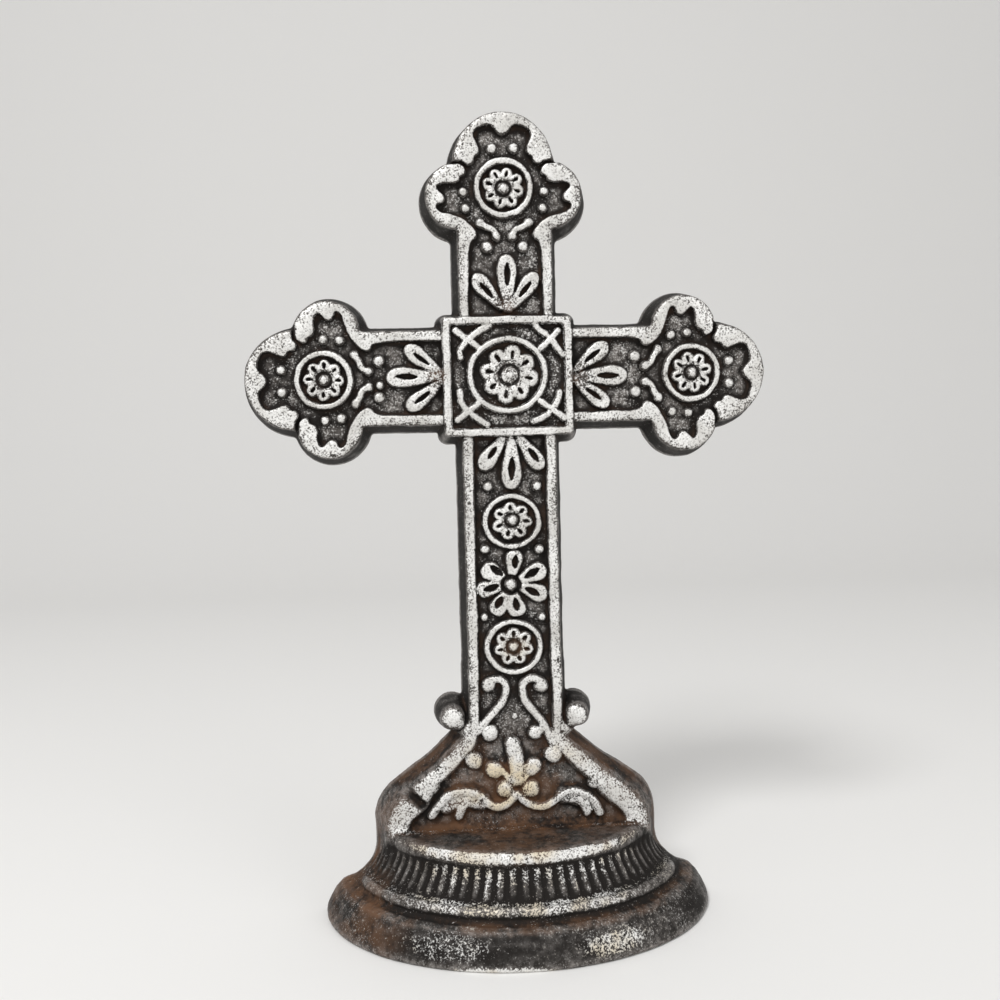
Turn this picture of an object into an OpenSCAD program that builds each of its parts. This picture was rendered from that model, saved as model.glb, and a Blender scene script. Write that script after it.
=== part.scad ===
// Standing cross of cast iron. The cross, its side brackets and its half-round foot are one casting.
// X runs across the cross, the front faces -Y, and Z is up from the ground.
// The relief is drawn in a flat frame: X across, Y up the face, Z out of the face towards the viewer.

/* [Overall] */
// Height of the medallion's centre above the ground
centre_h = 203.5; // [170:0.5:240]
// Distance from the medallion's centre to the tips of the top and side arms, at the face
arm_reach = 96; // [80:0.5:116]
// Thickness of the cross from its flat back to the tops of its rails
cross_t = 15; // [12:0.5:18]
// Extra width on each side at the back, which lets the casting leave its mould
draft = 3; // [1:0.5:4]

/* [Arms and shaft] */
// Width of the arms and the shaft at the face
arm_w = 34.5; // [29:0.5:42]
// Width of the raised rail along each edge
rail_w = 3.3; // [2:0.1:4]
// Depth of the sunk field below the rails
field_depth = 3; // [1.5:0.1:4]

/* [Trefoil ends] */
// Radius of the lobe at each tip
end_lobe_r = 18; // [15:0.5:21.5]
// Radius of the two side lobes
side_lobe_r = 12; // [10:0.5:14]
// Distance of the side lobes' centres from the middle line of the arm
side_lobe_off = 16.6; // [14:0.1:20]
// Distance from the tip back to the line of the side lobes' centres
side_lobe_back = 30.5; // [26:0.5:36]
// Distance from the tip back to the ring's centre
ring_back = 27.7; // [24:0.1:33]
// Width of the rim round the lobes, at its narrowest
rim_w = 4.2; // [3:0.1:5]
// Radius of the point that juts in from the middle of each lobe's rim
cusp_r = 2.6; // [1.5:0.1:3]

/* [Central block] */
// Width of the square block at the crossing
block_w = 47.8; // [42:0.1:57]
// Height of the square block at the crossing
block_h = 43.8; // [38:0.1:52]
// How far the block stands proud of the rails
block_proud = 1.5; // [0.5:0.1:3]
// Width of the block's raised border
block_rail_w = 2.6; // [2:0.1:4]

/* [Ornament] */
// Height of the rings, petals and scrolls above the field
relief_h = 2.5; // [1:0.1:3]
// Width of the rings' ridge
ring_w = 2.4; // [1.5:0.1:3]
// Outer radius of the rings on the arms and the shaft
ring_r = 11; // [9:0.1:13]
// Outer radius of the block's ring
block_ring_r = 14.7; // [12:0.1:17]
// Width of the bars that scrolls and open petals are drawn with
bar_w = 2.5; // [1.5:0.1:3]
// Radius of the single pearls
pearl_r = 2.1; // [1:0.1:2.5]

/* [Brackets and panel] */
// Half width of the lower panel, at the face
panel_half_w = 49; // [44:0.5:52]
// Half width of the waist under the volutes, at the face
waist_half_w = 20.5; // [19:0.5:24]
// Height of the waist above the ground
waist_h = 72; // [64:1:74]
// Height of the panel's shoulder above the ground
shoulder_h = 46.5; // [40:0.5:48]
// Extra width of the panel and its brackets on each side at the back
panel_draft = 6.5; // [3:0.5:8]
// Width of the panel's raised border
panel_rail_w = 4.4; // [3:0.1:5]
// Radius of the volutes, at the face
volute_r = 4.2; // [3.5:0.1:6]
// Distance of the volutes' centres from the middle line
volute_off = 23.4; // [21:0.1:25]
// Height of the volutes' centres above the waist
volute_rise = 4; // [3:0.5:8]

/* [Foot] */
// Width of the foot at its rim
foot_w = 149; // [123:1:176]
// Depth of the foot from its flat back to the front of its rim
foot_d = 57.5; // [52:0.5:74]
// Height of the ledge on top of the foot
foot_h = 34; // [29:0.5:39]
// Height of the convex band round the rim
band_h = 12.5; // [9:0.5:13]
// How far the top of the band stands in from the rim
band_in = 7; // [4:0.5:9]
// Radius of the lower bead
low_bead_r = 2.4; // [1.5:0.1:3]
// Distance of the lower bead's centre in from the rim
low_bead_in = 14; // [12:0.5:15]
// Radius of the upper bead
top_bead_r = 2.5; // [1.5:0.1:3]
// Distance of the upper bead's centre in from the rim
top_bead_in = 25.5; // [23:0.5:28]
// Number of flutes in the hollow between the beads
flute_count = 38; // [12:1:44]
// Depth of the flutes
flute_depth = 1.1; // [0.4:0.1:1.5]

/* [Hidden] */
$fn = 48;
back_y = foot_d / 2;
field_z = cross_t - field_depth;
block_t = cross_t + block_proud;
block_field_z = block_t - field_depth;
sink = 0.8;
// A stroke's straight runs are narrower than its round ends by this much a side
seam = 0.05;
// Extra left on the foot and the panel where a flat cut trims them
spare = 2;
rim_lap = 4;
// The foot and the volutes stand in this far from the back plane, so that the cross alone meets a wall
back_step = 0.4;
end_lobe_at = arm_reach - end_lobe_r;
side_lobe_at = arm_reach - side_lobe_back;
ring_at = arm_reach - ring_back;
field_w = arm_w - 2 * rail_w;
end_hole_r = (end_lobe_r - rim_w) * 0.8;
side_hole_r = (side_lobe_r - rim_w) * 0.82;
// The shaft's ornaments share out the length between the block and the scrolls
scroll_top_h = waist_h + 19;
shaft_top_h = centre_h - block_h / 2;
shaft_free = shaft_top_h - scroll_top_h;
upper_ring_h = shaft_top_h - 0.36 * shaft_free;
flower_h = shaft_top_h - 0.61 * shaft_free;
lower_ring_h = shaft_top_h - 0.87 * shaft_free;
// Small ornaments, as places on the right half, measured from the nearest ring, block or waist
lobe_pearls = [[4.5, 14.5], [14.6, -1], [14.4, -7.3]];
curl_from_ring = [[9, -11.5], [7.5, -13.8], [4, -15.5], [2.6, -17.6]];
neck_pearl = [6.5, -21.7];
question_arc_r = 4.8;
question_arc_at = [7.8, 15.2];
question_tail = [[3.2, 13.2], [4.6, 9], [13, -1.5]];
panel_knobs = [[9, -1.5], [14.2, -10.5], [33, -18.5]];
fleur_knobs = [[6.4, -14.7], [4.4, -22.7]];
leaf_line = [[1, -25], [5.5, -28.3], [10.5, -27], [15.5, -24.5], [20.5, -23.8], [25, -26.5], [28, -31.5]];
// Steps of the foot's curves
rim_steps = 2 * flute_count;
curve_steps = 4;

function arc_points(centre, r, from, to, steps) =
    [for (i = [0:steps]) let (a = from + (to - from) * i / steps)
        centre + r * [cos(a), sin(a)]];
function unit(v) = v / norm(v);
function reversed(points) = [for (i = [len(points) - 1:-1:0]) points[i]];
function mirrored_points(points) = [for (p = reversed(points)) [-p[0], p[1]]];
// Right-hand edge of the panel, from inside the foot up to the waist
function panel_edge() = concat(
    [[panel_half_w, foot_h / 2], [panel_half_w, shoulder_h - 5]],
    arc_points([panel_half_w - 6, shoulder_h - 4], 6, 10, 55, curve_steps),
    arc_points([waist_half_w + 24, waist_h + 7], 26, 235, 200, 2 * curve_steps));
// Direction out of an edge at each of its points
function outward(points, i) =
    let (a = points[max(i - 1, 0)], b = points[min(i + 1, len(points) - 1)], d = unit(b - a))
    [d[1], -d[0]];
function grown(points, by) = [for (i = [0:len(points) - 1]) points[i] + by * outward(points, i)];
function both_sides(points) = concat(points, mirrored_points(points));
// Foot profile: how far in from the rim, and how high
function bead(inset, height, r, from, to) =
    [for (i = [0:curve_steps]) let (a = from + (to - from) * i / curve_steps)
        [inset - r * cos(a), height + r * sin(a)]];
low_bead_h = band_h + low_bead_r + 0.3;
top_bead_h = foot_h - top_bead_r;
cove_lo = low_bead_h + low_bead_r;
cove_hi = top_bead_h - top_bead_r;
cove_in_lo = low_bead_in + 1.5;
cove_in_hi = top_bead_in - 0.3;
function cove(s) = [cove_in_lo + (cove_in_hi - cove_in_lo) * sin(90 * s),
                    cove_lo + 0.2 + (cove_hi - cove_lo - 0.4) * (1 - cos(90 * s))];
foot_profile = concat(
    [[1.2, -spare], [1.2, 0], [0, 1.5]],
    [for (i = [1:curve_steps]) let (s = i / curve_steps)
        [band_in * pow(s, 1.5), 1.5 + (band_h - 1.5) * s]],
    bead(low_bead_in, low_bead_h, low_bead_r, -60, 80),
    [for (i = [0:curve_steps + 1]) cove(i / (curve_steps + 1))],
    bead(top_bead_in, top_bead_h, top_bead_r, -80, 90),
    [[top_bead_in, foot_h + spare]]);
cove_first = len(foot_profile) - 2 * curve_steps - 4;
// Share of the full flute depth at each step of the profile: none at the hollow's two ends
function flute_share(k) =
    (k > cove_first && k < cove_first + curve_steps + 1) ? 1 : 0;
// Each row runs from just behind the right end round the front to just behind the left end
function foot_point(k, i) =
    let (a = -rim_lap + (180 + 2 * rim_lap) * i / rim_steps,
         groove = flute_depth * flute_share(k) * (i % 2),
         reach = 1 - (foot_profile[k][0] + groove) / (foot_w / 2))
    [foot_w / 2 * reach * cos(a), back_y - back_step - (foot_d - back_step) * reach * sin(a),
     foot_profile[k][1]];

module both() {
    children();
    mirror([1, 0, 0]) children();
}

// Bar with sloping sides along +Y, wide side on the back
module bar(l, w, t) translate([0, l, 0]) rotate([90, 0, 0]) linear_extrude(l)
    polygon([[-w / 2 - draft, 0], [w / 2 + draft, 0], [w / 2, t], [-w / 2, t]]);

module lobe(r, slope, base = 0) translate([0, 0, base])
    cylinder(h = cross_t - base, r1 = r + slope, r2 = r);

// Stroke of even width through a row of points, drawn flat
module stroke(points, w) {
    for (p = points) translate(p) circle(d = w);
    for (i = [0:len(points) - 2]) {
        span = points[i + 1] - points[i];
        translate(points[i]) rotate(atan2(span[1], span[0]))
            translate([0, seam - w / 2]) square([norm(span), w - 2 * seam]);
    }
}

module capsule(l, w) {
    translate([0, w / 2]) circle(d = w);
    translate([0, l - w / 2]) circle(d = w);
    translate([-w / 2, w / 2]) square([w, l - w]);
}

// Open petal along +Y
module open_petal(l, w) difference() {
    capsule(l, w);
    translate([0, bar_w]) capsule(l - 2 * bar_w, w - 2 * bar_w);
}

module raised(floor_z) translate([0, 0, floor_z - sink]) linear_extrude(relief_h + sink) children();

// Round cap of radius r and height h on the field
module cap(r, h, floor_z) {
    ball_r = (r * r + h * h) / (2 * h);
    translate([0, 0, floor_z + h - ball_r]) rotate_extrude() intersection() {
        circle(ball_r);
        translate([0, ball_r - h - sink]) square([r, h + sink]);
    }
}

module pearl(p, r = pearl_r) translate(p) cap(r, min(relief_h, r) * 0.9, field_z);

module ring(r, floor_z) translate([0, 0, floor_z]) rotate_extrude()
    translate([r - ring_w / 2, 0]) {
        translate([-ring_w / 2, -sink]) square([ring_w, relief_h - ring_w / 2 + sink]);
        translate([0, relief_h - ring_w / 2]) circle(d = ring_w, $fn = 24);
    }

// Petals as round caps that just clear each other, about a pearl
module rosette(petals, r, floor_z) {
    half_step = sin(180 / petals);
    petal_r = 0.92 * r * half_step / (1 + half_step);
    for (i = [0:petals - 1]) rotate(360 * (i + 0.5) / petals)
        translate([0, r - petal_r]) cap(petal_r, relief_h * 0.7, floor_z);
    cap(r * 0.3, relief_h * 0.7, floor_z);
}

module ringed_rosette(petals) {
    ring(ring_r, field_z);
    rosette(petals, ring_r - ring_w - 2, field_z);
}

// Spray of three open petals that points along +Y, its foot at the block's edge
module spray(start) {
    raised(field_z) {
        translate([0, start + 4]) open_petal(17.5, 7.6);
        both() translate([1, start + 3.5]) rotate(-38) open_petal(15, 6.4);
    }
    pearl([0, start + 2], 1.8);
}

module arm_body() {
    bar(ring_at, arm_w, cross_t);
    translate([0, end_lobe_at]) lobe(end_lobe_r, draft);
    both() translate([side_lobe_off, side_lobe_at]) lobe(side_lobe_r, draft);
}

// Outline of the sunk field of one arm
module arm_field() difference() {
    union() {
        translate([-field_w / 2, 0]) square([field_w, ring_at - ring_r]);
        translate([0, ring_at]) circle(ring_r + 3.2);
        translate([0, arm_reach - rim_w - end_hole_r]) circle(end_hole_r);
        both() translate([side_lobe_off + 2.9, side_lobe_at]) circle(side_hole_r);
        both() translate([side_lobe_off - 4, side_lobe_at + 9]) circle(3.4);
    }
    translate([0, arm_reach - rim_w]) circle(cusp_r);
    both() translate([side_lobe_off + 2.9 + side_hole_r, side_lobe_at + 0.5]) circle(cusp_r);
}

module arm_relief(start) {
    spray(start);
    translate([0, ring_at]) {
        ringed_rosette(8);
        raised(field_z) both() stroke(curl_from_ring, bar_w);
        both() for (p = lobe_pearls) pearl(p, pearl_r * 0.9);
        both() pearl(neck_pearl);
    }
}

module block_body() difference() {
    intersection() {
        translate([0, -block_h / 2 - draft]) bar(block_h + 2 * draft, block_w, block_t);
        rotate(90) translate([0, -block_w / 2 - draft]) bar(block_w + 2 * draft, block_h, block_t);
    }
    translate([0, 0, block_field_z]) linear_extrude(block_t)
        square([block_w - 2 * block_rail_w, block_h - 2 * block_rail_w], center = true);
}

module block_relief() {
    ring(block_ring_r, block_field_z);
    rosette(8, block_ring_r - ring_w - 1.6, block_field_z);
    corner = [block_w / 2 - block_rail_w - 2, block_h / 2 - block_rail_w - 2];
    raised(block_field_z) both() for (flip = [0, 1]) mirror([0, flip, 0]) {
        stroke([corner, unit(corner) * block_ring_r], bar_w);
        stroke([corner + [-4.5, -4], corner + [-7.5, -0.8], corner + [-11, 0]], bar_w * 0.85);
        stroke([corner + [-4.5, -4], corner + [-1, -7.5], corner + [-1, -11]], bar_w * 0.85);
    }
}

module flower(petals = 7) {
    raised(field_z) difference() {
        for (i = [1:petals]) rotate(360 * i / petals) translate([0, 2.4]) capsule(9.4, 6.4);
        for (i = [1:petals]) rotate(360 * i / petals) translate([0, 5.4]) capsule(4.2, 2.2);
        circle(3.4);
    }
    pearl([0, 0]);
}

module shaft_relief() {
    translate([0, upper_ring_h]) {
        ringed_rosette(8);
        both() pearl([9.9, ring_r + 1.6], pearl_r * 0.9);
        both() pearl([9.9, -ring_r + 0.4], pearl_r * 0.9);
    }
    translate([0, flower_h]) flower();
    translate([0, lower_ring_h]) {
        ringed_rosette(7);
        both() pearl([10.5, ring_r - 0.2], pearl_r * 0.9);
    }
}

// Solid with one outline at its face and a wider one at its back
module panel_body() {
    lean = panel_draft / cross_t;
    face = both_sides(grown(panel_edge(), -lean * spare));
    back = both_sides(grown(panel_edge(), panel_draft + lean * spare));
    n = len(face);
    intersection() {
        polyhedron(
            points = concat([for (p = back) [p[0], p[1], -spare]],
                            [for (p = face) [p[0], p[1], cross_t + spare]]),
            faces = concat(
                [[for (i = [0:n - 1]) i]],
                [[for (i = [n - 1:-1:0]) n + i]],
                [for (i = [0:n - 1]) [i, n + i, n + (i + 1) % n]],
                [for (i = [0:n - 1]) [i, n + (i + 1) % n, (i + 1) % n]]));
        translate([-foot_w, 0, 0]) cube([2 * foot_w, centre_h, cross_t]);
    }
}

module panel_field() {
    intersection() {
        polygon(both_sides(grown(panel_edge(), -panel_rail_w)));
        translate([-foot_w / 2, foot_h + 2]) square([foot_w, centre_h]);
    }
    translate([-field_w / 2, waist_h - 4]) square([field_w, centre_h - waist_h]);
}

module panel_relief() translate([0, waist_h]) {
    raised(field_z) {
        both() {
            stroke(arc_points(question_arc_at + [1, 0.5], question_arc_r, 20, 200, curve_steps), bar_w);
            stroke(question_tail, bar_w);
            stroke(leaf_line, bar_w * 1.2);
        }
        stroke([[0, -6.5], [0, -18], [0, -26]], bar_w * 1.7);
    }
    both() {
        for (p = panel_knobs) pearl(p, pearl_r * 1.4);
        for (p = fleur_knobs) pearl(p, pearl_r * 1.3);
    }
    pearl([0, 4]);
}

module foot() {
    levels = len(foot_profile);
    row = rim_steps + 1;
    intersection() {
        polyhedron(
            points = [for (k = [0:levels - 1]) for (i = [0:rim_steps]) foot_point(k, i)],
            faces = concat(
                [[for (i = [row - 1:-1:0]) i]],
                [[for (i = [0:row - 1]) (levels - 1) * row + i]],
                [concat([for (k = [0:levels - 1]) k * row],
                        [for (k = [levels - 1:-1:0]) k * row + row - 1])],
                [for (k = [0:levels - 2]) for (i = [0:row - 2])
                    [k * row + i, (k + 1) * row + i + 1, (k + 1) * row + i]],
                [for (k = [0:levels - 2]) for (i = [0:row - 2])
                    [k * row + i, k * row + i + 1, (k + 1) * row + i + 1]]));
        translate([-foot_w, -foot_w, 0]) cube([2 * foot_w, foot_w + back_y - back_step, foot_h]);
    }
}

module flat_cross() {
    difference() {
        union() {
            panel_body();
            both() translate([volute_off, waist_h + volute_rise]) lobe(volute_r, panel_draft - 1.5, back_step);
            translate([0, foot_h / 2]) bar(centre_h - foot_h / 2, arm_w, cross_t);
            translate([0, centre_h]) for (turn = [-90, 0, 90]) rotate(turn) arm_body();
        }
        translate([0, 0, field_z]) linear_extrude(cross_t) {
            panel_field();
            translate([0, centre_h]) for (turn = [-90, 0, 90]) rotate(turn) arm_field();
        }
    }
    translate([0, centre_h]) {
        block_body();
        block_relief();
        arm_relief(block_h / 2);
        for (turn = [-90, 90]) rotate(turn) arm_relief(block_w / 2);
        rotate(180) spray(block_h / 2);
    }
    shaft_relief();
    panel_relief();
}

module cross() color("dimgray") {
    translate([0, back_y, 0]) rotate([90, 0, 0]) flat_cross();
    foot();
}

cross();
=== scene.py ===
import math

import bpy
import numpy as np
from mathutils import Matrix, Vector


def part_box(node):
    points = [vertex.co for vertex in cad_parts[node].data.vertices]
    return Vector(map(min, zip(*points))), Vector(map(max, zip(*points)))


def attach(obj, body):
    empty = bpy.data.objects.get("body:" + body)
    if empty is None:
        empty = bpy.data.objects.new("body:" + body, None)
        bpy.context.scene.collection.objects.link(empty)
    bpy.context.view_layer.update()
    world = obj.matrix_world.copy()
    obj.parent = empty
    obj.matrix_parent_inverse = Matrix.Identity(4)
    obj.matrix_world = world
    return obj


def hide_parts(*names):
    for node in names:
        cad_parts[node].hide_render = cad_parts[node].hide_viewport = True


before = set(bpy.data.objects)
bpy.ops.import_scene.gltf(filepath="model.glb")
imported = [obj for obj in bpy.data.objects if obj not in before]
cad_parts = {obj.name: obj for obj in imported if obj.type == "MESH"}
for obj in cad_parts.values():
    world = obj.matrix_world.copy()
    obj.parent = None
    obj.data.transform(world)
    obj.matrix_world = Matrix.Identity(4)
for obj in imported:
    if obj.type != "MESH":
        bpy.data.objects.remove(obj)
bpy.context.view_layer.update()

# The whole cross is one casting, so it is worked out here as one solid: a relief map over the flat
# cross and a moulded foot, meshed together from one field of distances. Lengths are millimetres.
MM = 0.001
LOW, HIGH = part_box("cross")

# Pitch of the lattice that the field is meshed on, the most triangles kept, and room for the rough skin
STEP = 0.42
MAX_TRIANGLES = 188000
SKIN = 0.15

# Sizes of the flat cross. Its back, its span and the height of its centre come from the frame.
BACK_Y = HIGH.y / MM
HALF_SPAN = HIGH.x / MM - SKIN
CENTRE_H = (HIGH.z - HIGH.x) / MM
THICK = 15.0
FIELD = 12.0
BLOCK_THICK = 16.6
BLOCK_FIELD = 13.6
DRAFT = 2.9
PANEL_DRAFT = 5.4
ARM_REACH = HALF_SPAN - DRAFT
ARM_HALF = 17.2
RAIL_W = 3.3
BLOCK_HALF_W = 23.9
BLOCK_HALF_H = 21.9
BLOCK_RAIL_W = 2.6
END_LOBE_R = 18.0
SIDE_LOBE_R = 12.0
SIDE_LOBE_OFF = 16.6
SIDE_LOBE_AT = 66.0
# Each arm's quarter turn, the turn of its rosette in degrees, and how far out its ring sits
ARMS = ((-1, 20, 67.6), (0, 8, 68.8), (1, 35, 68.8))
# One odd pearl on the left arm only
ODD_PEARL = (-2.2, 47.1)
# Height of the lowest ring on the shaft from the centre of the block, and place of each bud along its arm
LOW_RING_Z = -101
BUD_AT = 26
# Usual height of leaves, petals and pearls over their ground
ORNAMENT_RISE = 2.4

# Sizes of the foot, a half-oval with its straight side on the back plane
FOOT_HALF_W = 74.3
FOOT_DEPTH = (HIGH.y - LOW.y) / MM - SKIN
FOOT_H = 34.0
FLUTES = 38
FLUTE_DEPTH = 1.1
# Heights between which the flutes begin and between which they end
FLUTES_START = (17.6, 20)
FLUTES_END = (26.6, 29)
# Beads round the foot: inset from the rim, height and radius
LOW_BEAD = (13.9, 15.5, 2.4)
TOP_BEAD = (25.6, 30.8, 3.2)

# Height where the two meshed blocks meet, and how far forward the upper one reaches
SPLIT_H = 38.0
RELIEF_DEPTH = 19.0

# Draws the small differences between petals
rng = np.random.default_rng(1871)
NOISE_CELLS = 32


# ---------------------------------------------------------------- distances and curves

def disc(u, v, cu, cv, r):
    return np.hypot(u - cu, v - cv) - r


def rectangle(u, v, cu, cv, half_u, half_v, corner=0.0):
    du = np.abs(u - cu) - half_u + corner
    dv = np.abs(v - cv) - half_v + corner
    outside = np.hypot(np.maximum(du, 0), np.maximum(dv, 0))
    return outside + np.minimum(np.maximum(du, dv), 0) - corner


def polygon(u, v, points):
    """Signed distance to a closed outline, negative inside."""
    best = np.full(np.broadcast(u, v).shape, 1e9)
    inside = np.zeros(best.shape, bool)
    for (au, av), (bu, bv) in zip(points, points[1:] + points[:1]):
        best = np.minimum(best, segment(u, v, (au, av), (bu, bv)))
        if av != bv:
            crossed = (av <= v) != (bv <= v)
            inside ^= crossed & (u < (bu - au) * (v - av) / (bv - av) + au)
    return np.where(inside, -best, best)


def segment(u, v, a, b):
    du, dv = b[0] - a[0], b[1] - a[1]
    along = ((u - a[0]) * du + (v - a[1]) * dv) / max(du * du + dv * dv, 1e-9)
    along = np.clip(along, 0, 1)
    return np.hypot(u - a[0] - along * du, v - a[1] - along * dv)


def lens(u, v, a, b, half):
    """Signed distance to a pointed oval along a line, negative inside."""
    du, dv = b[0] - a[0], b[1] - a[1]
    length = math.hypot(du, dv)
    mid_u, mid_v = u - (a[0] + b[0]) / 2, v - (a[1] + b[1]) / 2
    along = (mid_u * du + mid_v * dv) / length
    across = np.abs(mid_v * du - mid_u * dv) / length
    reach = length / 2 + half
    r = (reach ** 2 + half ** 2) / (2 * half)
    return np.hypot(along, across + r - half) - r


def path(u, v, points):
    best = segment(u, v, points[0], points[1])
    for a, b in zip(points[1:-1], points[2:]):
        best = np.minimum(best, segment(u, v, a, b))
    return best


def curve(points, closed=False, steps=5):
    """Smooth line through the points."""
    if closed:
        row = [points[-1]] + points + points[:2]
    else:
        row = [points[0]] + points + [points[-1]]
    out = []
    for i in range(1, len(row) - 2):
        p = [np.array(row[i + k], float) for k in (-1, 0, 1, 2)]
        for k in range(steps):
            s = k / steps
            out.append(tuple(0.5 * (2 * p[1] + (p[2] - p[0]) * s
                                    + (2 * p[0] - 5 * p[1] + 4 * p[2] - p[3]) * s * s
                                    + (3 * p[1] - p[0] - 3 * p[2] + p[3]) * s ** 3)))
    if closed:
        out.append(out[0])
    else:
        out.append(tuple(points[-1]))
    return out


def flipped(points):
    return [(-p[0], p[1]) for p in points]


def smooth_min(a, b, k):
    h = np.maximum(k - np.abs(a - b), 0) / k
    return np.minimum(a, b) - h * h * k / 4


def smooth_max(a, b, k):
    return -smooth_min(-a, -b, k)


def ramp(value, low, high):
    s = np.clip((value - low) / (high - low), 0, 1)
    return s * s * (3 - 2 * s)


def noise(points, cell, seed):
    """Smooth random values from -1 to 1, the same for the same seed."""
    grid = np.random.default_rng(seed).random((NOISE_CELLS,) * 3) * 2 - 1
    p = points / cell + 100
    low = np.floor(p).astype(int)
    f = p - low
    f = f * f * (3 - 2 * f)
    total = 0
    for corner in np.ndindex(2, 2, 2):
        weight = 1
        for axis in range(3):
            weight = weight * (f[:, axis] if corner[axis] else 1 - f[:, axis])
        at = [(low[:, axis] + corner[axis]) % NOISE_CELLS for axis in range(3)]
        total = total + weight * grid[at[0], at[1], at[2]]
    return total


def flat_noise(u, v, cell, seed):
    points = np.stack([u.ravel(), v.ravel(), np.full(u.size, 7.3 * seed)], axis=1)
    return noise(points, cell, seed).reshape(u.shape)


# ---------------------------------------------------------------- outline and relief of the cross

def arm_outline(u, v):
    d = rectangle(u, v, 0, SIDE_LOBE_AT / 2, ARM_HALF, SIDE_LOBE_AT / 2)
    d = smooth_min(d, disc(u, v, 0, ARM_REACH - END_LOBE_R, END_LOBE_R), 0.8)
    for side in (-1, 1):
        d = smooth_min(d, disc(u, v, side * SIDE_LOBE_OFF, SIDE_LOBE_AT, SIDE_LOBE_R), 1.2)
    return d


# Outer edge of the shaft's rails and of the panel's border below them, from the shaft down
PANEL_RIGHT = [(17.2, -110), (17.3, -126), (18.4, -134.8), (25.2, -142.2), (34.4, -150), (42.6, -156.8),
               (47.8, -163), (49.4, -169), (49.4, -175), (49.4, -188)]
PANEL_LEFT = [(-17.2, -110), (-17.5, -127), (-20.8, -134.6), (-27.2, -141), (-33.8, -147.8),
              (-40.2, -153.6), (-46.4, -159.6), (-49.4, -166), (-49.4, -173), (-49.4, -188)]
VOLUTES = ((-24.0, -127.3), (23.0, -127.7))
VOLUTE_R = 4.3
# Line and half width of the break in the panel's left border
BORDER_BREAK = ((-36.5, -160), (-44.6, -151.8))
BREAK_HALF_W = 2.8


def panel_outline(u, v):
    return polygon(u, v, curve(PANEL_RIGHT) + curve(PANEL_LEFT)[::-1])


def toward_panel(z):
    """From 0 on the shaft to 1 on the panel below it."""
    return ramp(-z, 122, 136)


def in_arm(x, z, turn):
    """Place across and along an arm: 0 is the top arm, 1 the right one and -1 the left one."""
    if turn == 0:
        return x, z
    return -turn * z, turn * x


def cross_outline(x, z):
    """Outline of the front face, from the centre of the block."""
    d = rectangle(x, z, 0, 0, BLOCK_HALF_W, BLOCK_HALF_H, 1.4)
    for turn in (-1, 0, 1):
        d = np.minimum(d, arm_outline(*in_arm(x, z, turn)))
    shaft = rectangle(x, z, 0, -75, ARM_HALF, 75)
    lower = smooth_min(shaft, panel_outline(x, z), 1.0)
    for at in VOLUTES:
        lower = smooth_min(lower, disc(x, z, at[0], at[1], VOLUTE_R), 1.0)
        neck = segment(x, z, at, (0.78 * at[0], at[1] - 5.2)) - 2.3
        lower = smooth_min(lower, neck, 1.0)
    return np.minimum(d, lower)


# Right half of the sunk field of an arm and its trefoil, from the block outwards
ARM_FIELD = [(13.9, 15), (13.9, 30), (13.7, 45.6), (12.7, 49.3), (11, 50.6), (10.5, 52.3), (11.9, 54.6),
             (14.4, 56.8), (17.4, 58.3), (20.5, 59.3), (23.2, 60), (24.8, 61.4), (24.6, 62.9),
             (22.4, 64), (22, 65.7), (23.5, 67.4), (24.6, 68.8), (24, 70), (21.6, 70.8), (18.6, 70.7),
             (16.6, 71.5), (15.9, 73), (14.1, 74), (14.3, 75.6), (16, 77), (20, 77.4), (20, 78.8),
             (15.2, 78.6), (13, 77.3), (11.2, 78.2), (10.8, 80), (9.1, 81.3), (9.1, 83), (10, 85.3),
             (10.7, 87.4), (10.2, 89.5), (8.2, 90.8), (5.6, 91.6), (3.8, 91.2), (2.3, 89.6), (1.1, 88.5),
             (0, 88.1)]


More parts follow.
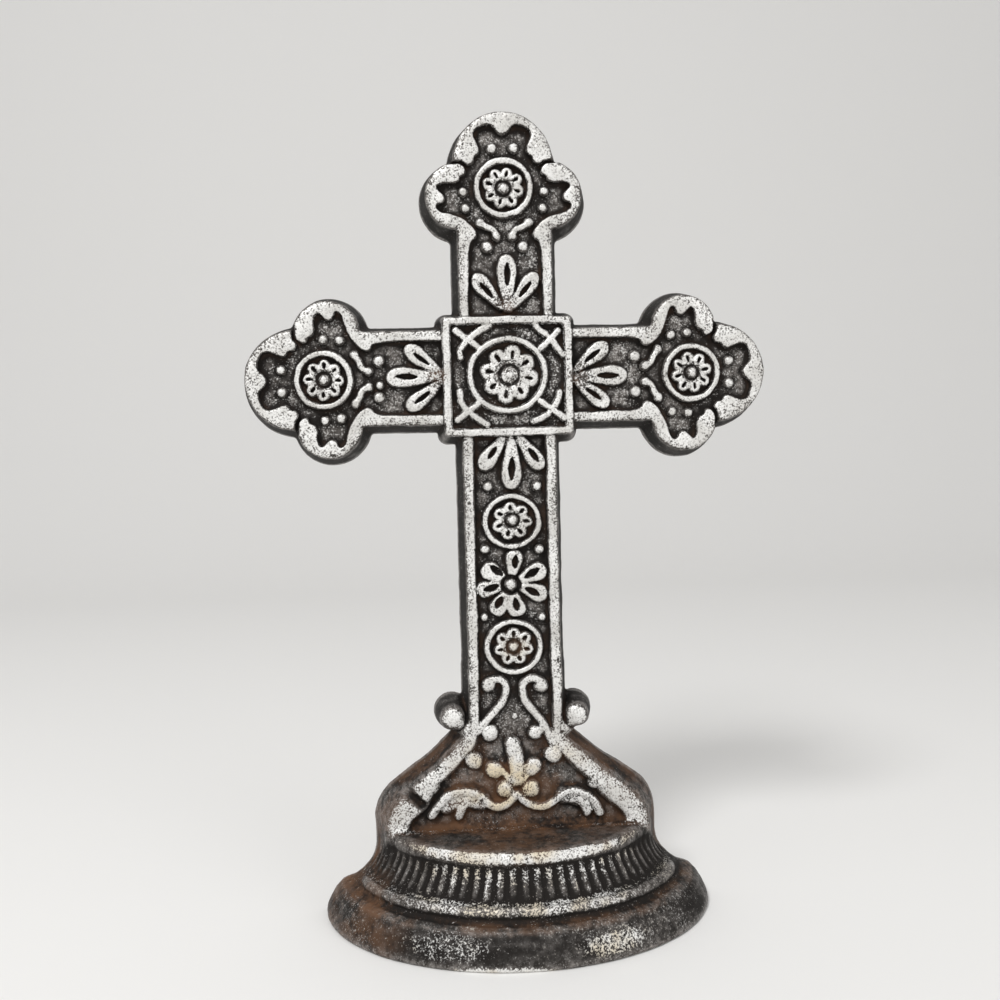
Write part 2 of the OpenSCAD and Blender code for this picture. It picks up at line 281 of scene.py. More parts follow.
class Relief:
    """Height map built up from ridges, knobs, leaves and rings standing on a field."""

    def __init__(self, u, v, floor):
        self.u = u
        self.v = v
        self.floor = floor
        self.height = np.full(u.shape, floor)

    def near(self, points, pad):
        us, vs = [p[0] for p in points], [p[1] for p in points]
        return ((self.u > min(us) - pad) & (self.u < max(us) + pad)
                & (self.v > min(vs) - pad) & (self.v < max(vs) + pad))

    def raise_to(self, where, rise):
        self.height[where] = np.maximum(self.height[where], self.floor + rise)

    def swell(self, where, distance, half, rise):
        share = np.clip(1 - (distance / half) ** 2, 0, 1)
        self.raise_to(where, rise * np.minimum(1, 1.12 * share ** 0.55))

    def ridge(self, points, width, rise):
        where = self.near(points, width)
        line = curve(points) if len(points) > 2 else points
        self.swell(where, path(self.u[where], self.v[where], line), width / 2, rise)

    def pair(self, points, width, rise):
        self.ridge(points, width, rise)
        self.ridge(flipped(points), width, rise)

    def knob(self, at, r, rise=ORNAMENT_RISE):
        where = self.near([at], r)
        self.swell(where, disc(self.u[where], self.v[where], at[0], at[1], 0), r, rise)

    def knobs(self, places, r, rise=ORNAMENT_RISE):
        for place in places:
            self.knob(place, r, rise)
            self.knob((-place[0], place[1]), r, rise)

    def ring(self, at, r, width, rise=2.6, squash=1.0):
        where = self.near([at], r + width)
        d = np.hypot(self.u[where] - at[0], (self.v[where] - at[1]) / squash) - r
        self.swell(where, np.abs(d), width / 2, rise)

    def leaf(self, base, tip, half_w, slit, slit_w):
        """Solid rounded leaf from a base to a tip, with a slit sunk along its middle."""
        b, t = np.array(base, float), np.array(tip, float)
        along = t - b
        side = np.array([-along[1], along[0]]) / np.hypot(*along)
        outline = [b - 0.34 * half_w * side, b + 0.34 * half_w * side, b + 0.4 * along + 0.8 * half_w * side,
                   b + 0.72 * along + half_w * side, b + 0.93 * along + 0.66 * half_w * side, t,
                   b + 0.93 * along - 0.66 * half_w * side, b + 0.72 * along - half_w * side,
                   b + 0.4 * along - 0.8 * half_w * side]
        where = self.near([base, tip], half_w + 1)
        u, v = self.u[where], self.v[where]
        inward = np.clip(-polygon(u, v, curve([tuple(p) for p in outline], closed=True)[:-1]) / 1.1, 0, 1)
        lift = ORNAMENT_RISE * np.sqrt(1 - (1 - inward) ** 2)
        lift = lift * (1 - 0.9 * ramp(0.2 - lens(u, v, *slit, slit_w / 2 + 0.2), 0, 0.6))
        self.raise_to(where, lift)

    def moat(self, at, r, width):
        d = np.abs(disc(self.u, self.v, at[0], at[1], r))
        self.height = self.floor + (self.height - self.floor) * (0.15 + 0.85 * ramp(d, 0.15 * width, width))

    def rosette(self, at, r, petals, start, squash=1.0):
        """Scalloped flower: rimmed petals round a pearl in a moat, each petal slit along its middle."""
        where = self.near([at], r + 1)
        du, dv = self.u[where] - at[0], (self.v[where] - at[1]) / squash
        reach = np.hypot(du, dv)
        turn = (np.degrees(np.arctan2(dv, du)) - start) % 360 / 360 * petals
        index = np.floor(turn).astype(int)
        vary = rng.random((petals, 2)) - 0.5
        angle = (turn - index - 0.5) * 2 * math.pi / petals
        along, across = reach * np.cos(angle), reach * np.sin(angle)
        petal_r = (0.335 if petals < 8 else 0.30) * r
        petal_at = (r - petal_r) * (1 + 0.07 * vary[index, 0])
        inside = petal_r - np.hypot(along - petal_at, across)
        inside = np.maximum(inside, 0.66 * r - reach)
        plateau = 1.6 * ramp(inside, 0, 0.8)
        rim_w = 0.115 * r + 0.25
        rim = ORNAMENT_RISE * np.clip(1 - ((inside - rim_w) / (1.15 * rim_w)) ** 2, 0, 1) ** 0.5
        rim = np.where(reach > 0.5 * r, rim, 0)
        slit = np.hypot(np.maximum(np.abs(along - 0.66 * r) - 0.10 * r, 0), across)
        lift = np.maximum(plateau, rim) * (1 - 0.65 * ramp(0.62 - slit, 0, 0.5))
        lift = lift * (0.5 + 0.5 * ramp(np.abs(reach - 0.33 * r), 0.02 * r, 0.06 * r + 0.2))
        self.raise_to(where, lift)
        self.knob(at, 2.1, 2.8)


def arm_relief(u, v, start, ring_at):
    r = Relief(u, v, FIELD)
    r.ring((0, ring_at), 9.85, 2.8)
    r.rosette((0, ring_at), 7.9, 8, start)
    r.knobs([(4.1, 83)], 2.1)
    r.knobs([(14.9, 67.5), (14.2, 61.5)], 2.0)
    r.pair([(8.9, 56.2), (6.6, 54.6), (4.2, 53.6), (2.8, 51.4)], 2.9, 2.5)
    r.knobs([(9, 56.2), (2.9, 51.2)], 2.0, 2.7)
    r.knobs([(6.6, 47.5)], 2.4)
    r.leaf((0.4, 25.4), (0.4, 44.9), 4.1, ((0.6, 40.6), (0.5, 34.2)), 1.8)
    for side in (-1, 1):
        r.leaf((1.6 * side, 24.6), (11.9 * side, 37.8), 3.5, ((9.1 * side, 34.2), (5.2 * side, 29.2)), 1.2)
    r.knob((0.6, 27.4), 3.6, 1.5)
    r.knob((0.6, 25), 2.4, 2.7)
    return r.height


# Short strokes in the block's corners: a bar across each corner and a curl on each side of it
CORNER_STROKES = [
    [(-19, 17), (-10.6, 10.4)],
    [(-6.6, 18.8), (-10, 17), (-13.4, 14.6)],
    [(-15.4, 12.6), (-17.6, 9.8), (-17.2, 7)],
    [(19, 16.4), (12.2, 10)],
    [(9.9, 19.2), (11.6, 17), (14.2, 15.2)],
    [(16.4, 13), (18.6, 9.6), (20.6, 7.4)],
    [(-19, -15.8), (-11, -9.8)],
    [(-17.8, -5.4), (-17.5, -9), (-15.8, -11.8)],
    [(-13.4, -14), (-10.8, -16), (-8, -17.6)],
    [(11.8, -9.6), (20.6, -16)],
    [(14.6, -14.4), (12, -15.8), (9, -16.8)],
    [(19, -6.2), (18.6, -8.6), (16.8, -12)]]


def block_relief(x, z):
    r = Relief(x, z, BLOCK_FIELD)
    r.ring((-0.2, 0.4), 13.9, 2.8, squash=0.95)
    r.rosette((0.4, 0.5), 11.0, 8, 12)
    for line in CORNER_STROKES:
        r.ridge(line, 3.0, 2.3)
    return r.height


def shaft_relief(x, z):
    r = Relief(x, z, FIELD)
    r.leaf((0.7, -22.6), (0.5, -42.4), 4.1, ((0.8, -31), (0.6, -37.4)), 2.0)
    r.leaf((-1.8, -21.8), (-11.2, -34.6), 3.6, ((-5.4, -26.4), (-7.8, -29.8)), 1.4)
    r.leaf((3, -21.8), (12, -34.8), 3.6, ((7.4, -27.4), (10, -31.2)), 1.7)
    r.knob((0.6, -24), 4.2, 1.4)
    for at in ((-8.4, -40.6), (9.8, -40.9), (-10.1, -64), (10.3, -64.5)):
        r.knob(at, 2.1)
    for at in ((-11.1, -89.4), (10.6, -89.8)):
        r.knob(at, 1.8)
    r.ring((0.2, -53.8), 10.0, 2.6, squash=0.94)
    r.rosette((0.4, -53.6), 7.9, 7, 20, squash=0.94)
    flower_leaves(r)
    r.ring((-0.3, LOW_RING_Z), 10.1, 2.7, squash=0.94)
    r.rosette((-0.3, LOW_RING_Z + 0.1), 7.9, 7, 64, squash=0.94)
    r.ridge([(-10.4, -113.8), (-6.9, -113.1), (-4.1, -114.6), (-3.5, -117.4), (-4.8, -121), (-8.2, -125.4),
             (-12, -129.6), (-14.4, -132.4)], 3.6, 2.6)
    r.ridge([(9.6, -114.2), (5.8, -113.2), (3.2, -114.8), (2.7, -117.6), (3.8, -122), (7.4, -127),
             (10.8, -131.4), (13.2, -136.4), (14, -141.5)], 3.6, 2.6)
    r.knob((-10.3, -115.3), 3.1, 2.8)
    r.knob((9.7, -116), 3.1, 2.8)
    r.knob((-0.5, -127.4), 1.6, 1.7)
    return r.height


def flower_leaves(r):
    """Seven open petals round a pearl, each given by its tip, its slit and its half width."""
    heart = (-0.7, -77.6)
    for tip, slit, half_w in (((1.3, -64.2), ((1.2, -67.6), (1, -70.4)), 3.7),
                              ((-11.4, -70.2), ((-7.6, -71), (-4.4, -73.4)), 3.8),
                              ((12.8, -71.4), ((9.2, -72.4), (5.4, -74.6)), 3.7),
                              ((-13.8, -79.6), ((-10, -79.2), (-6, -78)), 3.5),
                              ((13.2, -82), ((9, -81.2), (5.4, -79.5)), 3.7),
                              ((-7.4, -89), ((-5.8, -85.4), (-4.6, -83)), 3.7),
                              ((1.9, -90), ((1.2, -86.4), (0.7, -83.8)), 3.8)):
        base = (heart[0] + 0.2 * (tip[0] - heart[0]), heart[1] + 0.2 * (tip[1] - heart[1]))
        r.leaf(base, tip, half_w, slit, 2.1)
    r.moat(heart, 3.2, 1.0)
    r.knob(heart, 2.6, 3.0)


def panel_relief(x, z):
    r = Relief(x, z, FIELD)
    for at, size in (((-10.1, -133.6), 3.6), ((7.6, -133.6), 3.3),
                     ((-16.3, -143.8), 3.9), ((13.6, -142.8), 3.9),
                     ((-8.7, -147.4), 3.8), ((5.8, -147.4), 3.8),
                     ((-4.9, -155), 3.8), ((5, -155.2), 3.8),
                     ((-32.8, -152.6), 4.2), ((29.6, -153.4), 3.4)):
        r.knob(at, size, 2.8)
    r.ridge([(-1.4, -137.6), (-0.4, -144), (0.2, -151)], 6.6, 2.7)
    r.ridge([(-7.4, -146), (-4.4, -149.6), (-1, -153)], 3.2, 1.9)
    r.ridge([(6.6, -146), (4, -149.8), (0.8, -153)], 3.2, 1.9)
    r.ridge([(0.3, -157.2), (3.6, -160.8), (8.5, -162), (14.2, -160), (19.6, -156.6), (25.3, -158),
             (29, -161.4), (30.9, -165.6)], 3.9, 2.7)
    r.ridge([(20, -157.4), (24, -160.8), (26.4, -165.4)], 3.9, 2.4)
    r.ridge([(17.4, -158.6), (22.4, -159.4), (27.6, -162.4)], 7.4, 1.9)
    r.ridge([(-0.4, -157.2), (-4, -160.8), (-8.4, -161.6), (-12.2, -159.4), (-14.6, -157), (-19, -155.9),
             (-25.6, -157), (-30.4, -160.8), (-33, -164)], 4.2, 2.6)
    r.ridge([(-16, -156.8), (-20, -160.4), (-22.6, -164.6)], 4.2, 2.2)
    r.ridge([(-13.6, -159.6), (-19.8, -158.6), (-28, -160.6)], 7.6, 1.9)
    return r.height


def sunk(distance, top, floor, run=0.8):
    """From a pocket's distance: full height outside it, down a short slope to its floor inside."""
    return top - (top - floor) * ramp(-distance, -0.15, run)


def cross_relief(x, z):
    """Height of the front over the back plane at each place, and the bare floor height there."""
    height = np.full(x.shape, THICK)
    floor = np.full(x.shape, FIELD)
    half = curve_corners(ARM_FIELD)
    for turn, start, ring_at in ARMS:
        u, v = in_arm(x, z, turn)
        near = (np.abs(u) < 31) & (v > 15) & (v < 100)
        ui, vi = u[near], v[near]
        pocket = polygon(ui, vi, half + flipped(half[::-1]))
        level = sunk(pocket, THICK, FIELD)
        carved = arm_relief(ui, vi, start, ring_at)
        if turn == -1:
            odd = Relief(ui, vi, FIELD)
            odd.knob(ODD_PEARL, 1.8)
            carved = np.maximum(carved, odd.height)
        height[near] = np.where(pocket < 0.2, np.maximum(level, carved), level)
    lower = (z < -21) & (np.abs(x) < 52)
    xi, zi = x[lower], z[lower]
    shaft_pocket = rectangle(xi, zi, 0, -75, ARM_HALF - RAIL_W, 62)
    panel_pocket = panel_outline(xi, zi) + 3.4 + 1.7 * ramp(-zi, 132, 140) + 2.4 * ramp(-zi, 152, 161)
    pocket = smooth_min(shaft_pocket, panel_pocket, 1.5)
    pocket = smooth_min(pocket, segment(xi, zi, *BORDER_BREAK) - BREAK_HALF_W, 1.6)
    level = sunk(pocket, THICK, FIELD, 1.2 + 1.4 * toward_panel(zi))
    carved = np.maximum(shaft_relief(xi, zi), panel_relief(xi, zi))
    height[lower] = np.where(pocket < 0.2, np.maximum(level, carved), level)
    for at in VOLUTES:
        d = disc(x, z, at[0], at[1], 0)
        height = np.where(d < VOLUTE_R + 1.2, THICK + 0.5 - 0.07 * d * d, height)
    block = rectangle(x, z, 0, 0, BLOCK_HALF_W, BLOCK_HALF_H, 1.4)
    pocket = rectangle(x, z, 0, 0, BLOCK_HALF_W - BLOCK_RAIL_W, BLOCK_HALF_H - BLOCK_RAIL_W, 0.8)
    level = sunk(pocket, BLOCK_THICK, BLOCK_FIELD)
    carved = block_relief(x, z)
    carved = np.where(pocket < 0.2, np.maximum(level, carved), level)
    share = ramp(-block, -0.5, 0.3)
    height = height * (1 - share) + carved * share
    floor = floor * (1 - share) + BLOCK_FIELD * share
    return height, floor


def curve_corners(points):
    """Smooth line that keeps the straight first run straight."""
    return points[:2] + curve(points[2:], steps=4)


# ---------------------------------------------------------------- profile of the foot

def arc(centre, r, start, end, steps=8):
    return [(centre[0] + r * math.cos(math.radians(start + (end - start) * i / steps)),
             centre[1] + r * math.sin(math.radians(start + (end - start) * i / steps)))
            for i in range(steps + 1)]


def foot_profile(low_bead):
    """Outline of half a section through the foot: inset from the rim, and height."""
    band = [(1.8, -4), (0.9, 0), (0, 1.0), (0.4, 2.8), (1.5, 5.2), (3.6, 8.8), (6.4, 11.8), (8.4, 12.7)]
    if low_bead:
        band = band + [(10.2, 12.8)] + arc(LOW_BEAD[:2], LOW_BEAD[2], 220, 60)
    else:
        band = band + [(11.4, 13.6), (14.2, 15.6)]
    cove = [(16.8, 18.4), (18, 20), (19.8, 22.4), (21.6, 25.2), (22.5, 27.4), (22.9, 28.4)]
    top_bead = arc(TOP_BEAD[:2], TOP_BEAD[2], 215, 90)
    inside = [(27.2, FOOT_H - 0.1), (80, FOOT_H - 0.3), (80, -4)]
    return band + cove + top_bead + inside


# Spans of inset and height that the foot's distances are worked out over beforehand, and their pitch
TABLE_INSET = (-8, 62)
TABLE_HEIGHT = (-3, 40)
TABLE_PITCH = 0.2


def foot_table(low_bead):
    inset = np.arange(*TABLE_INSET, TABLE_PITCH)
    height = np.arange(*TABLE_HEIGHT, TABLE_PITCH)
    grid_in, grid_h = np.meshgrid(inset, height, indexing="ij")
    return polygon(grid_in, grid_h, foot_profile(low_bead))


FOOT_TABLES = foot_table(True), foot_table(False)


def looked_up(table, inset, height):
    fa = np.clip((inset - TABLE_INSET[0]) / TABLE_PITCH, 0, table.shape[0] - 1.001)
    fb = np.clip((height - TABLE_HEIGHT[0]) / TABLE_PITCH, 0, table.shape[1] - 1.001)
    ia, ib = fa.astype(int), fb.astype(int)
    fa, fb = fa - ia, fb - ib
    return ((table[ia, ib] * (1 - fa) + table[ia + 1, ib] * fa) * (1 - fb)
            + (table[ia, ib + 1] * (1 - fa) + table[ia + 1, ib + 1] * fa) * fb)


def foot_place(x, t):
    """Inset from the rim and the angle round the half-oval, 0 at the right and pi at the left."""
    reach = np.hypot(x / FOOT_HALF_W, t / FOOT_DEPTH)
    return (1 - reach) * FOOT_HALF_W, np.arctan2(t / FOOT_DEPTH, x / FOOT_HALF_W)


def flute_wave(angle):
    """From 0 on a broad ridge to 1 in the narrow hollow beside it."""
    phase = angle * FLUTES / math.pi
    return np.abs(np.sin(math.pi * phase)) ** 2.6


def foot_distance(x, t, h):
    inset, angle = foot_place(x, t)
    zone = ramp(h, *FLUTES_START) * (1 - ramp(h, *FLUTES_END))
    # Flutes are shallower toward the ends, and not quite alike
    uneven = 0.55 + 0.45 * np.sin(angle) + 0.16 * np.sin(7.3 * angle) * np.sin(4.1 * angle + 1)
    inset = inset - FLUTE_DEPTH * zone * flute_wave(angle) * uneven
    front = looked_up(FOOT_TABLES[0], inset, h)
    ends = looked_up(FOOT_TABLES[1], inset, h)
    share = ramp(np.sin(angle), 0.12, 0.42)
    return front * share + ends * (1 - share)


# ---------------------------------------------------------------- one field, meshed in two blocks

class Block:
    """Box of grid points on the shared lattice: x across, t forward from the back plane, h up."""

    def __init__(self, first, last):
        self.first = np.array(first)
        self.count = np.array(last) - self.first + 1
        self.x, self.t, self.h = [(self.first[i] + np.arange(self.count[i])) * STEP for i in range(3)]
        self.field = self.evaluated()

    def evaluated(self):
        """Signed distance at each grid point, negative inside the casting."""
        x2, h2 = np.meshgrid(self.x, self.h, indexing="ij")
        z2 = h2 - CENTRE_H
        warp_x = 0.28 * flat_noise(x2, z2, 6.5, 3) + 0.12 * flat_noise(x2, z2, 2.6, 5)
        warp_z = 0.28 * flat_noise(x2, z2, 6.5, 4) + 0.12 * flat_noise(x2, z2, 2.6, 6)
        on_panel = toward_panel(z2)
        warp_x = warp_x + 0.75 * on_panel * flat_noise(x2, z2, 9.0, 13)
        warp_z = warp_z + 0.75 * on_panel * flat_noise(x2, z2, 9.0, 14)
        height, floor = cross_relief(x2 + warp_x, z2 + warp_z)
        height = height + 0.16 * flat_noise(x2, z2, 3.4, 8) + 0.12 * flat_noise(x2, z2, 1.5, 9)
        slope_x, slope_z = np.gradient(height, STEP)
        tilt = 1 / np.sqrt(1 + np.minimum(slope_x ** 2 + slope_z ** 2, 9))
        outline = cross_outline(x2 + 0.6 * warp_x, z2 + 0.6 * warp_z)
        draft = DRAFT + (PANEL_DRAFT - DRAFT) * ramp(-z2, 140, 158)
        self.floor = floor
        self.outline = outline
        t = self.t[None, :, None].astype(np.float32)
        front = (t - height[:, None, :].astype(np.float32)) * tilt[:, None, :].astype(np.float32)
        side = outline[:, None, :] - draft[:, None, :] * (1 - np.minimum(t, THICK) / THICK)
        side = side.astype(np.float32) * 0.97
        round_off = (1.5 + 2.3 * on_panel)[:, None, :].astype(np.float32)
        solid = smooth_max(front, side, round_off)
        solid = np.maximum(solid, (FOOT_H / 2 - self.h)[None, None, :].astype(np.float32))
        if self.first[2] * STEP < FOOT_H:
            foot = foot_distance(self.x[:, None, None], t, self.h[None, None, :]).astype(np.float32)
            solid = smooth_min(solid, foot, 2.6)
            solid = smooth_max(solid, -self.h[None, None, :].astype(np.float32), 0.5)
        return smooth_max(solid, -t, 0.6).astype(np.float32)

    def sampled(self, values, points):
        """Value of a grid of numbers at points given in lattice steps."""
        p = points - self.first
        low = np.clip(np.floor(p).astype(int), 0, self.count - 2)
        f = np.clip(p - low, 0, 1)
        total = 0
        for corner in np.ndindex(2, 2, 2):
            weight = 1
            for axis in range(3):
                weight = weight * (f[:, axis] if corner[axis] else 1 - f[:, axis])
            at = low + corner
            total = total + weight * values[at[:, 0], at[:, 1], at[:, 2]]
        return total

    def through_depth(self, values):
        """The same map of the front at every depth of the block."""
        return np.repeat(values[:, None, :], self.count[1], axis=1)

    def looseness(self, radius):
        """Share of empty space within a box round each grid point: half on a flat face."""
        cells = max(1, round(radius / STEP))
        out = (self.field > 0).astype(np.float32)
        for axis in range(3):
            pad = [(0, 0)] * 3
            pad[axis] = (cells + 1, cells)
            sums = np.cumsum(np.pad(out, pad, mode="edge"), axis=axis, dtype=np.float32)
            width, n = 2 * cells + 1, out.shape[axis]
            upper = np.take(sums, range(width, width + n), axis=axis)
            lower = np.take(sums, range(n), axis=axis)
            out = (upper - lower) / width
        return out


def surface_net(block, skip_first_layer):
    """Vertices in lattice steps with their cell numbers, and quads of cell numbers."""
    f = block.field
    solid = f < 0
    n = block.count
    corner_count = np.zeros(tuple(n - 1), np.int8)
    for c in np.ndindex(2, 2, 2):
        corner_count += solid[c[0]:n[0] - 1 + c[0], c[1]:n[1] - 1 + c[1], c[2]:n[2] - 1 + c[2]]
    cells = np.argwhere((corner_count > 0) & (corner_count < 8))
    total = np.zeros((len(cells), 3))
    crossings = np.zeros(len(cells))
    for axis in range(3):
        others = [a for a in range(3) if a != axis]
        for d0, d1 in np.ndindex(2, 2):
            a = cells.copy()
            a[:, others[0]] += d0
            a[:, others[1]] += d1
            b = a.copy()
            b[:, axis] += 1
            fa, fb = f[a[:, 0], a[:, 1], a[:, 2]], f[b[:, 0], b[:, 1], b[:, 2]]
            cut = (fa < 0) != (fb < 0)
            share = np.where(cut, fa / np.where(cut, fa - fb, 1), 0)
            at = a.astype(float)
            at[:, axis] += share
            total += at * cut[:, None]
            crossings += cut
    vertices = total / crossings[:, None] + block.first
    quads = []
    for axis in range(3):
        o0, o1 = [(1, 2), (2, 0), (0, 1)][axis]
        here = [slice(None)] * 3
        there = [slice(None)] * 3
        here[axis], there[axis] = slice(0, -1), slice(1, None)
        change = solid[tuple(here)] != solid[tuple(there)]
        at = np.argwhere(change)
        keep = (at[:, o0] > 0) & (at[:, o1] > 0) & (at[:, o0] < n[o0] - 1) & (at[:, o1] < n[o1] - 1)
        if skip_first_layer and axis == 2:
            keep &= at[:, 2] > 0
        at = at[keep]
        outward = solid[at[:, 0], at[:, 1], at[:, 2]]
        ring = []
        for d0, d1 in ((1, 1), (0, 1), (0, 0), (1, 0)):
            cell = at.copy()
            cell[:, o0] -= d0
            cell[:, o1] -= d1
            ring.append(numbered(cell + block.first))
        quad = np.stack(ring, axis=1)
        quads.append(np.where(outward[:, None], quad, quad[:, ::-1]))
    return vertices, numbered(cells + block.first), np.concatenate(quads)


# Each cell's place as one number: shifted to be positive, then packed in steps of this many cells
CELL_SHIFT = 1000
CELL_SPAN = 4096


def numbered(cells):
    shifted = cells + CELL_SHIFT
    return (shifted[:, 0] * CELL_SPAN + shifted[:, 1]) * CELL_SPAN + shifted[:, 2]


def whole_surface(blocks):
    """One closed mesh from the blocks, in lattice steps."""
    nets = [surface_net(block, i == 0) for i, block in enumerate(blocks)]
    places = np.concatenate([net[0] for net in nets])
    numbers = np.concatenate([net[1] for net in nets])
    quads = np.concatenate([net[2] for net in nets])
    unique, first = np.unique(numbers, return_index=True)
    faces = np.searchsorted(unique, quads)
    used, faces = np.unique(faces, return_inverse=True)
    return places[first][used], faces.reshape(-1, 4)


def vertex_normals(points, faces):
    corner = points[faces]
    across = np.cross(corner[:, 2] - corner[:, 0], corner[:, 3] - corner[:, 1])
    normals = np.zeros(points.shape)
    for axis in range(3):
        weights = np.repeat(across[:, axis], 4)
        normals[:, axis] = np.bincount(faces.ravel(), weights, len(points))
    return normals / np.maximum(np.linalg.norm(normals, axis=1, keepdims=True), 1e-9)


def roughened(points, faces):
    """Cast skin: shallow lumps along the normals, in lattice steps."""
    normals = vertex_normals(points, faces)
    place = points * STEP
    lumps = 0.10 * noise(place, 7.0, 21) + 0.07 * noise(place, 2.4, 22) + 0.05 * noise(place, 1.2, 23)
    flat_back = ramp(place[:, 1], 0.2, 1.2)
    resting = ramp(place[:, 2], 0.1, 1.0)
    return points + normals * (lumps * flat_back * resting / STEP)[:, None]


def lattice_range(low, high):
    return int(math.floor(low / STEP)), int(math.ceil(high / STEP))


def casting_blocks():
    split = int(round(SPLIT_H / STEP))
    x0, x1 = lattice_range(-HALF_SPAN - 2, HALF_SPAN + 2)
    f0, f1 = lattice_range(-FOOT_HALF_W - 2, FOOT_HALF_W + 2)
    # Lattice steps kept free behind the back and under the foot
    margin = -3
    top = lattice_range(0, CENTRE_H + HALF_SPAN + 2)[1]
    upper = Block((x0, margin, split - 1), (x1, lattice_range(0, RELIEF_DEPTH)[1], top))
    lower = Block((f0, margin, margin), (f1, lattice_range(0, FOOT_DEPTH + 2)[1], split))
    return upper, lower


def casting_mesh(blocks):
    points, faces = whole_surface(blocks)
    points = roughened(points, faces)
    mesh = bpy.data.meshes.new("cast_iron_cross")
    place = points * STEP
    real = np.stack([place[:, 0], BACK_Y - place[:, 1], place[:, 2]], axis=1) * MM
    split = np.concatenate([faces[:, [0, 1, 2]], faces[:, [0, 2, 3]]])
    mesh.vertices.add(len(real))
    mesh.vertices.foreach_set("co", real.astype(np.float32).ravel())
    mesh.loops.add(split.size)
    mesh.loops.foreach_set("vertex_index", split[:, ::-1].ravel().astype(np.int32))
    mesh.polygons.add(len(split))
    mesh.polygons.foreach_set("loop_start", np.arange(0, split.size, 3, dtype=np.int32))
    mesh.polygons.foreach_set("loop_total", np.full(len(split), 3, dtype=np.int32))
    mesh.update()
    return mesh


def lightened(mesh):
    """The mesh with fewer triangles, kept where the form turns."""
    piece = bpy.data.objects.new("shaping", mesh)
    bpy.context.scene.collection.objects.link(piece)
    if len(mesh.polygons) > MAX_TRIANGLES:
        modifier = piece.modifiers.new("fewer", "DECIMATE")
        modifier.ratio = MAX_TRIANGLES / len(mesh.polygons)
        shown = piece.evaluated_get(bpy.context.evaluated_depsgraph_get())
        light = bpy.data.meshes.new_from_object(shown)
    else:
        light = mesh.copy()
    bpy.data.objects.remove(piece)
    light.name = "cast_iron_cross"
    return light


# ---------------------------------------------------------------- where the silver and the rust lie

def mesh_arrays(mesh):
    co = np.empty(len(mesh.vertices) * 3, np.float32)
    mesh.vertices.foreach_get("co", co)
    normals = np.empty(len(mesh.vertices) * 3, np.float32)
    mesh.vertex_normals.foreach_get("vector", normals)
    return co.reshape(-1, 3).astype(float) / MM, normals.reshape(-1, 3).astype(float)


def from_blocks(blocks, maps, points):
    """Samples the map of whichever block holds each point."""
    out = np.zeros(len(points))
    lower = points[:, 2] < blocks[1].h[-1] / STEP - 1
    out[~lower] = blocks[0].sampled(maps[0], points[~lower])
    out[lower] = blocks[1].sampled(maps[1], points[lower])
    return out


def patch(x, h, cx, ch, rx, rh):
    """Oval patch: 0 at its edge, 1 in its middle."""
    return ramp(1 - np.hypot((x - cx) / rx, (h - ch) / rh), 0, 0.6)


# Height over the ground that counts as fully raised, and how far round a point its hollowness is judged
RELIEF_RISE = 2.6
CLOSE_LOOK = 0.9
WIDE_LOOK = 2.4
# Height below which the cross takes the browner finish of the panel, and the height of the panel's spray
PANEL_FINISH_H = 75
SPRAY_H = 52


class Surface:
    """Place of each vertex, x across, t forward and h up, and how it lies in the casting."""

    def __init__(self, mesh, blocks):
        place, self.normal = mesh_arrays(mesh)
        self.x = place[:, 0]
        self.t = BACK_Y - place[:, 1]
        self.h = place[:, 2]
        lattice = np.stack([self.x, self.t, self.h], axis=1) / STEP
        self.close = from_blocks(blocks, [b.looseness(CLOSE_LOOK) for b in blocks], lattice) - 0.5
        self.wide = from_blocks(blocks, [b.looseness(WIDE_LOOK) for b in blocks], lattice) - 0.5
        self.floor = from_blocks(blocks, [b.through_depth(b.floor) for b in blocks], lattice)
        self.from_edge = -from_blocks(blocks, [b.through_depth(b.outline) for b in blocks], lattice)
        self.facing = -self.normal[:, 1]
        self.panel = ramp(PANEL_FINISH_H - self.h, 0, 12)
        self.on_foot = ramp(37.5 - self.h, 0, 3) * ramp(self.t + (FOOT_H - self.h), 16.5, 19)
        # Walls turned away from the front, which the finish darkens as painted shade
        self.shade = ramp(0.5 - self.facing, 0, 0.35) * ramp(self.t, 1.5, 4) * (1 - self.on_foot)
        self.behind = ramp(-self.facing, 0.3, 0.7) * ramp(2.5 - self.t, 0, 1.5)

    def plain_behind(self, values, back):
        """The values, with one plain value on the back."""
        return values * (1 - self.behind) + back * self.behind


def cross_silver(s):
    """Silver on the flat cross: full on raised work, speckled on its ground and thin on the walls."""
    silver = 0.90 * ramp((s.t - s.floor) / RELIEF_RISE, 0.25, 0.8) * ramp(s.facing, 0.25, 0.9)
    silver = silver * (0.80 + 0.5 * np.clip(s.wide, -0.2, 0.3)) + 0.25 * np.clip(s.close, 0, 0.3)
    silver = silver * (0.74 + 0.26 * ramp(s.from_edge, 0.4, 3.0))
    in_block = ramp(-rectangle(s.x, s.h - CENTRE_H, 0, 0, BLOCK_HALF_W, BLOCK_HALF_H), 0, 1)
    mottle = ramp(s.wide, -0.30, -0.04) * ramp(s.facing, 0.5, 0.95)
    silver = np.maximum(silver, (0.32 + 0.08 * in_block - 0.15 * s.panel) * mottle)
    on_wall = np.maximum(0.10, 0.45 * ramp(s.t, 12.2, 15.2)) * ramp(s.facing, -0.3, 0.3)
    silver = np.where((s.facing < 0.35) & (s.t > 4), on_wall, silver)
    silver = np.where(s.facing < -0.2, 0.06, silver)
    silver = silver * (1 - 0.06 * s.panel)
    for at in VOLUTES:
        silver = silver + 0.16 * patch(s.x, s.h, at[0], CENTRE_H + at[1], 5, 5) * ramp(s.facing, 0.2, 0.8)
    return silver


